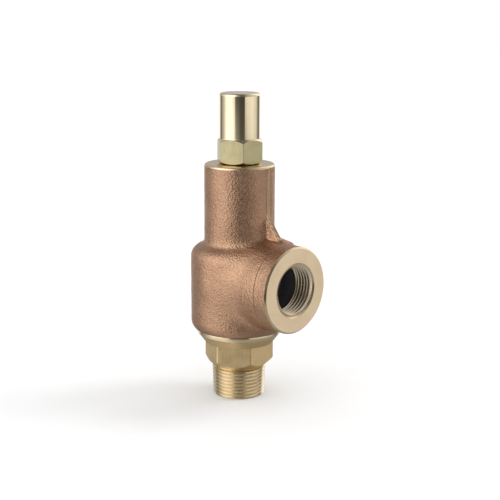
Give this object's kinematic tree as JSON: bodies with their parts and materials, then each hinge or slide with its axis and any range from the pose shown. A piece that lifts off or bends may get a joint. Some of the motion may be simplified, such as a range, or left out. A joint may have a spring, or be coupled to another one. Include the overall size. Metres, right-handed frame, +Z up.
{
  "type": "pressure relief valve",
  "caption": "Angle pressure relief valve: male threaded inlet below, female threaded side outlet, spring-loaded disc, adjusting screw under a screwed cap.",
  "frame": {"origin": "centre of the inlet's end, on the valve's axis, where the valve screws into a fitting", "axes": "+Z up the valve's axis to the cap; +X out of the side outlet; +Y completes a right-handed frame"},
  "size_m": [0.0622, 0.0482, 0.1523],
  "materials": {
    "cast_bronze": "shot-blasted sand casting, fine grain",
    "turned_brass": "fine turned",
    "polished_brass": "polished cylinder over an as-drawn hexagon",
    "stainless_steel": "machined",
    "plated_steel": "zinc plated",
    "spring_steel": "drawn wire",
    "seat_rubber": "moulded",
    "gasket_fibre": "pressed fibre sheet"
  },
  "bodies": {
    "housing": {"valve_body": "cast_bronze", "inlet_nozzle": "turned_brass", "nozzle_seal_ring": "gasket_fibre", "guide_plate": "turned_brass", "guide_bush": "turned_brass", "guide_retaining_ring": "spring_steel", "valve_spring": "spring_steel"},
    "lift_train": {"disc_holder": "turned_brass", "seat_insert": "seat_rubber", "insert_retainer": "turned_brass", "retainer_screw": "stainless_steel", "disc_clip": "stainless_steel", "pivot_ball": "stainless_steel", "spindle": "stainless_steel", "spindle_snap_ring": "stainless_steel", "lower_spring_step": "plated_steel"},
    "upper_step": {"upper_spring_step": "plated_steel"},
    "adjuster": {"adjusting_screw": "plated_steel"},
    "nut_washer": {"jam_nut_washer": "plated_steel"},
    "lock_nut": {"jam_nut": "plated_steel"},
    "gasket": {"cap_gasket": "gasket_fibre"},
    "cover": {"cap": "polished_brass"}
  },
  "joints": [
    {"name": "disc_lift", "type": "slide", "parent": "housing", "child": "lift_train", "axis": [0, 0, 1], "range_m": [0, 0.003], "stiffness_N_per_m": 13000, "deforming": ["valve_spring"]},
    {"name": "adjuster_travel", "type": "slide", "parent": "housing", "child": "upper_step", "axis": [0, 0, 1], "range_m": [0, 0.00282]},
    {"name": "adjusting_screw_turn", "type": "hinge", "parent": "upper_step", "child": "adjuster", "pos_m": [0, 0, 0.103], "axis": [0, 0, 1], "range_deg": [0, 721]},
    {"name": "jam_nut_travel", "type": "slide", "parent": "housing", "child": "nut_washer", "axis": [0, 0, 1], "range_m": [0, 0.00212]},
    {"name": "jam_nut_turn", "type": "hinge", "parent": "nut_washer", "child": "lock_nut", "pos_m": [0, 0, 0.1255], "axis": [0, 0, 1], "range_deg": [0, 541]},
    {"name": "cap_travel", "type": "slide", "parent": "housing", "child": "gasket", "axis": [0, 0, 1], "range_m": [0, 0.00741]},
    {"name": "cap_turn", "type": "hinge", "parent": "gasket", "child": "cover", "pos_m": [0, 0, 0.1179], "axis": [0, 0, 1], "range_deg": [0, 1891]}
  ],
  "couplings": [
    {"joint": "adjusting_screw_turn", "follows": "adjuster_travel", "rad_per_m": 4452.7},
    {"joint": "jam_nut_turn", "follows": "jam_nut_travel", "rad_per_m": 4452.7},
    {"joint": "cap_turn", "follows": "cap_travel", "rad_per_m": 4452.7}
  ]
}
